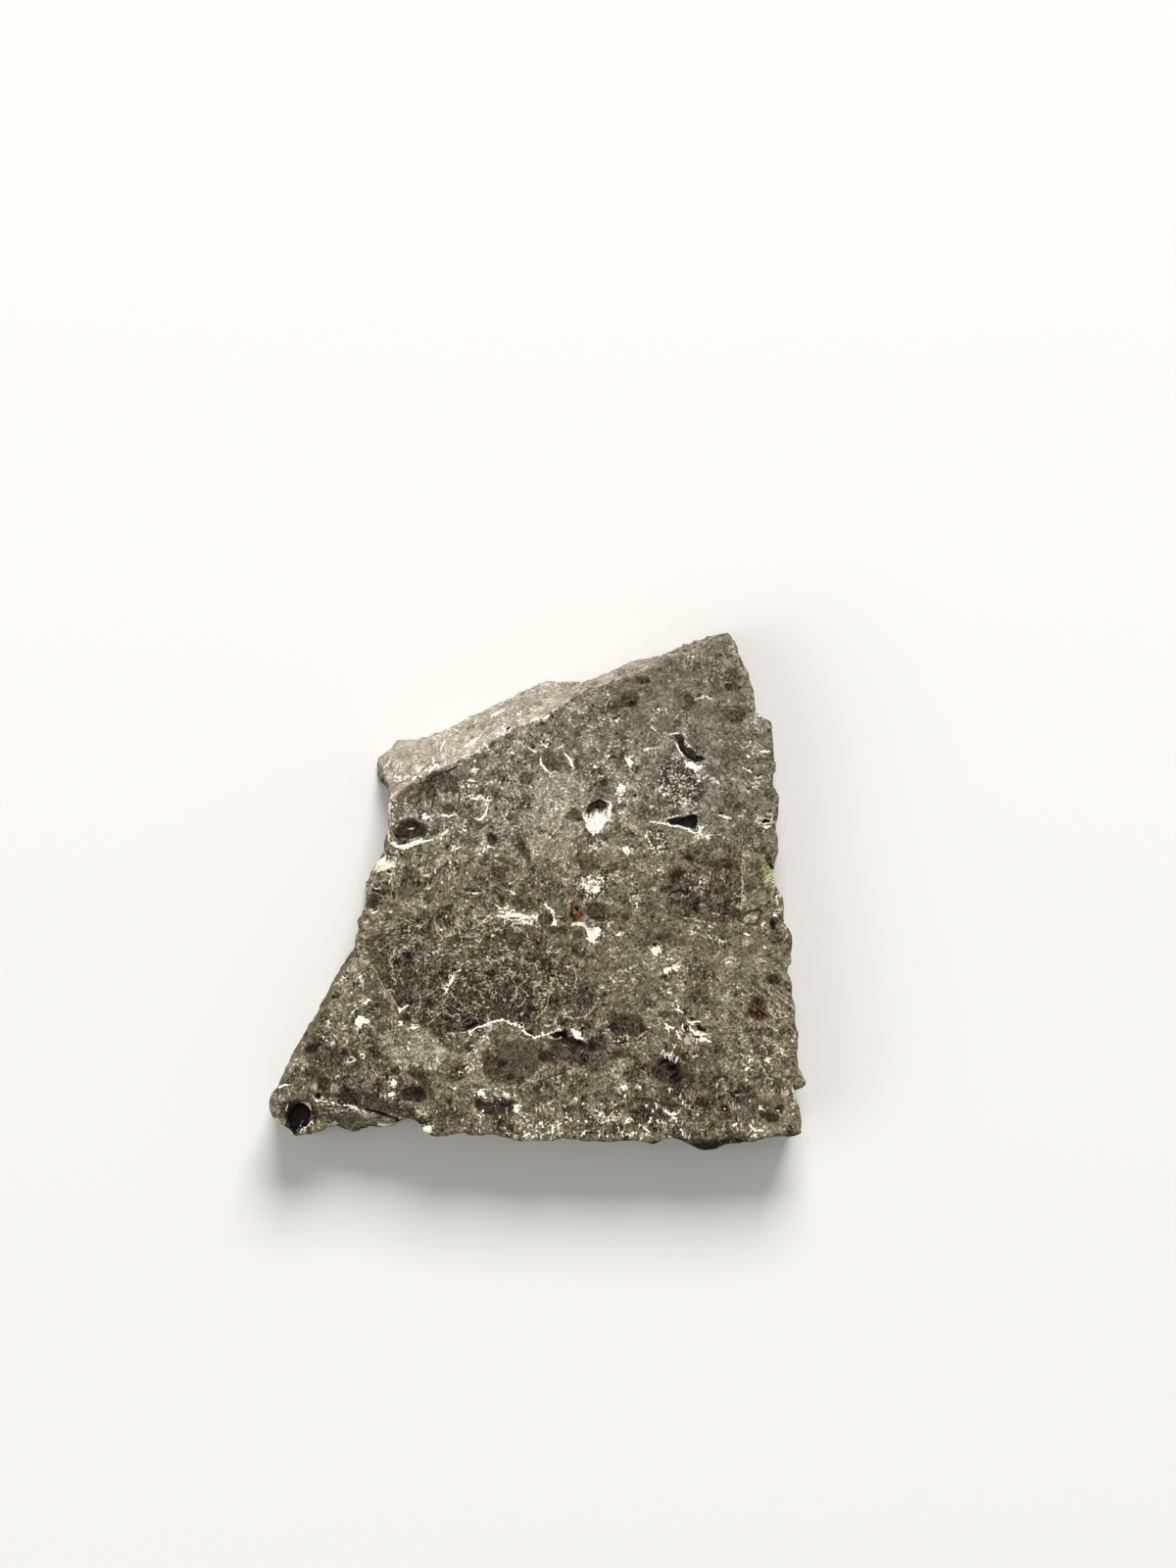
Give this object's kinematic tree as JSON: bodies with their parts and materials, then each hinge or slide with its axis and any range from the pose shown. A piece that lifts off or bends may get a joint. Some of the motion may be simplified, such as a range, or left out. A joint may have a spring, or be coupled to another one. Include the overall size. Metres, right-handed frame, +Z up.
{
  "type": "lunar meteorite part-slice",
  "caption": "Thin dark slice of lunar breccia, sawn flat on both faces and broken round its rim, with light and dark clasts and small open vugs. It lies flat as a specimen.",
  "frame": {"origin": "middle of the bounding box, on the plane of the flat back face that the slice rests on", "axes": "+Z up through the thickness, out of the lapped top face; +X to the right and +Y away from the long straight edge, seen from above"},
  "size_m": [0.0156, 0.0152, 0.0025],
  "materials": {
    "stone": "dark warm-grey breccia, lightly lapped on the top face and rough where it is broken"
  },
  "bodies": {
    "root": {"stone": "stone"}
  },
  "joints": []
}
